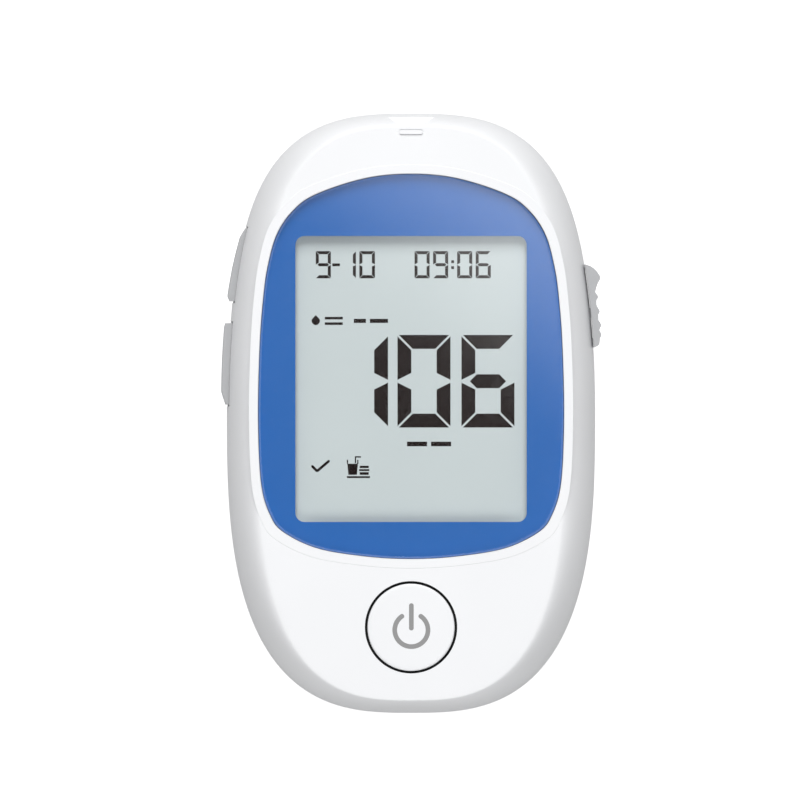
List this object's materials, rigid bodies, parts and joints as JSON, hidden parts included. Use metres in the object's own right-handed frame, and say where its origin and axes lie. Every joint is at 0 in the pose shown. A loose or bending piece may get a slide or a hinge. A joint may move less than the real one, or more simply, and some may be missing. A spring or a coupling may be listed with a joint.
{
  "type": "blood test meter",
  "caption": "Handheld blood-test meter: egg-shaped case, display window, round power button, side buttons, strip ejector slider and battery door.",
  "frame": {"origin": "middle of the back, on the plane that the meter lies on", "axes": "+X to the right across the display, +Y along the meter toward the test-strip port, +Z out of the display"},
  "size_m": [0.062, 0.098, 0.0215],
  "materials": {
    "white_abs": "smooth semi-gloss white",
    "grey_abs": "fine satin grey",
    "clear_acrylic": "polished, clear",
    "blue_printed_film": "printed blue",
    "black_foam_tape": "foam tape",
    "display_glass": "liquid-crystal glass with a grey polariser",
    "white_diffuser": "translucent white",
    "natural_polycarbonate": "natural white moulding",
    "conductive_rubber": "striped grey rubber",
    "green_circuit_board": "green solder mask",
    "black_moulding": "black moulding",
    "nickel_plated_steel": "nickel plated",
    "gold_plated_bronze": "gold plated",
    "cell_sleeve": "printed sleeve; a light metal stands for a cell's mean density"
  },
  "bodies": {
    "case": {"front_cover": "white_abs", "rear_cover": "white_abs", "window_lens": "clear_acrylic", "window_mask": "blue_printed_film", "window_tape": "black_foam_tape", "lcd_glass": "display_glass", "backlight_panel": "white_diffuser", "lcd_holder": "natural_polycarbonate", "zebra_strip": "conductive_rubber", "main_board": "green_circuit_board", "processor_chip": "black_moulding", "amplifier_chip": "black_moulding", "buzzer": "black_moulding", "power_switch_base": "black_moulding", "upper_switch_base": "black_moulding", "lower_switch_base": "black_moulding", "strip_port": "black_moulding", "case_screw_1": "nickel_plated_steel", "case_screw_2": "nickel_plated_steel", "case_screw_3": "nickel_plated_steel", "case_screw_4": "nickel_plated_steel", "board_screw_1": "nickel_plated_steel", "board_screw_2": "nickel_plated_steel", "clock_crystal": "nickel_plated_steel", "ejector_spring": "nickel_plated_steel", "battery_spring_1": "nickel_plated_steel", "battery_spring_2": "nickel_plated_steel", "battery_bridge": "nickel_plated_steel", "battery_negative_contact": "nickel_plated_steel", "battery_positive_contact": "nickel_plated_steel", "strip_contact_1": "gold_plated_bronze", "strip_contact_2": "gold_plated_bronze", "strip_contact_3": "gold_plated_bronze", "strip_contact_4": "gold_plated_bronze", "battery_1": "cell_sleeve", "battery_2": "cell_sleeve"},
    "power_key": {"power_button": "white_abs", "power_switch_plunger": "grey_abs"},
    "upper_key": {"upper_side_button": "grey_abs", "upper_switch_plunger": "grey_abs"},
    "lower_key": {"lower_side_button": "grey_abs", "lower_switch_plunger": "grey_abs"},
    "ejector": {"ejector_slider": "grey_abs", "ejector_pusher": "black_moulding"},
    "door": {"battery_door": "white_abs"}
  },
  "joints": [
    {"name": "power_press", "type": "slide", "parent": "case", "child": "power_key", "axis": [0, 0, -1], "range_m": [0, 0.0005], "stiffness_N_per_m": 1500, "springref_m": -0.0005},
    {"name": "upper_button_press", "type": "slide", "parent": "case", "child": "upper_key", "axis": [1, 0, 0], "range_m": [0, 0.0005], "stiffness_N_per_m": 1500, "springref_m": -0.0005},
    {"name": "lower_button_press", "type": "slide", "parent": "case", "child": "lower_key", "axis": [1, 0, 0], "range_m": [0, 0.0005], "stiffness_N_per_m": 1500, "springref_m": -0.0005},
    {"name": "ejector_slide", "type": "slide", "parent": "case", "child": "ejector", "axis": [0, 1, 0], "range_m": [0, 0.006], "stiffness_N_per_m": 150, "springref_m": -0.003, "deforming": ["ejector_spring"]},
    {"name": "battery_door_slide", "type": "slide", "parent": "case", "child": "door", "axis": [0, -1, 0], "range_m": [0, 0.005]}
  ]
}
